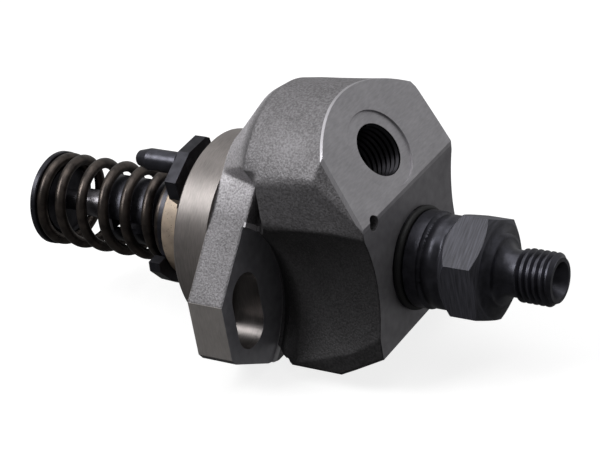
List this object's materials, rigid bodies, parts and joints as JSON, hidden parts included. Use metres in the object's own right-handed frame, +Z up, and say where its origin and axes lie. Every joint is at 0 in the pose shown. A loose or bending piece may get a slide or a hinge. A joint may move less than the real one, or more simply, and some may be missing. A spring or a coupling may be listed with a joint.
{
  "type": "diesel injection pump",
  "caption": "Flange-mounted single-plunger diesel injection pump with control lever, return spring, threaded fuel inlet and high-pressure delivery union.",
  "frame": {"origin": "on the spigot's axis, in the plane of the flange's mounting face", "axes": "+X along the pump axis towards the delivery union, +Z towards the inlet side, +Y to the left seen along +X with +Z up"},
  "size_m": [0.1345, 0.0624, 0.0629],
  "materials": {
    "cast_steel": "shot-blasted, machined on the inlet, end and mounting faces",
    "ground_steel": "ground and lapped",
    "black_steel": "black oxide",
    "spring_steel": "oiled, tempered",
    "bronze": "sintered bronze, matt",
    "copper": "annealed copper",
    "seal_rubber": "moulded"
  },
  "bodies": {
    "housing": {"pump_housing": "cast_steel", "plunger_barrel": "ground_steel", "barrel_pin": "ground_steel", "barrel_seals": "seal_rubber", "spill_deflector": "ground_steel", "plunger_spring": "spring_steel", "spring_washer": "black_steel", "guide_bush": "bronze", "bush_ring": "spring_steel", "valve_seat": "ground_steel", "valve_gasket": "copper", "valve_spring": "spring_steel", "volume_reducer": "ground_steel", "valve_holder": "black_steel", "holder_ring": "seal_rubber"},
    "spring_carrier": {"spring_plate": "black_steel"},
    "plunger": {"plunger": "ground_steel"},
    "control": {"control_sleeve": "black_steel", "control_lever": "black_steel", "lever_pin": "black_steel"},
    "delivery_valve": {"delivery_valve": "ground_steel"}
  },
  "joints": [
    {"name": "plunger_stroke", "type": "slide", "parent": "housing", "child": "spring_carrier", "axis": [1, 0, 0], "range_m": [0, 0.01], "stiffness_N_per_m": 4000, "springref_m": -0.01, "deforming": ["plunger_spring"]},
    {"name": "control_turn", "type": "hinge", "parent": "housing", "child": "control", "pos_m": [0, 0, 0], "axis": [1, 0, 0], "range_deg": [-40, 0]},
    {"name": "plunger_turn", "type": "hinge", "parent": "spring_carrier", "child": "plunger", "pos_m": [0, 0, 0], "axis": [1, 0, 0], "range_deg": [-40, 0]},
    {"name": "valve_lift", "type": "slide", "parent": "housing", "child": "delivery_valve", "axis": [1, 0, 0], "range_m": [0, 0.0024], "stiffness_N_per_m": 400, "springref_m": -0.003, "deforming": ["valve_spring"]}
  ],
  "couplings": [
    {"joint": "plunger_turn", "follows": "control_turn", "ratio": 1}
  ]
}
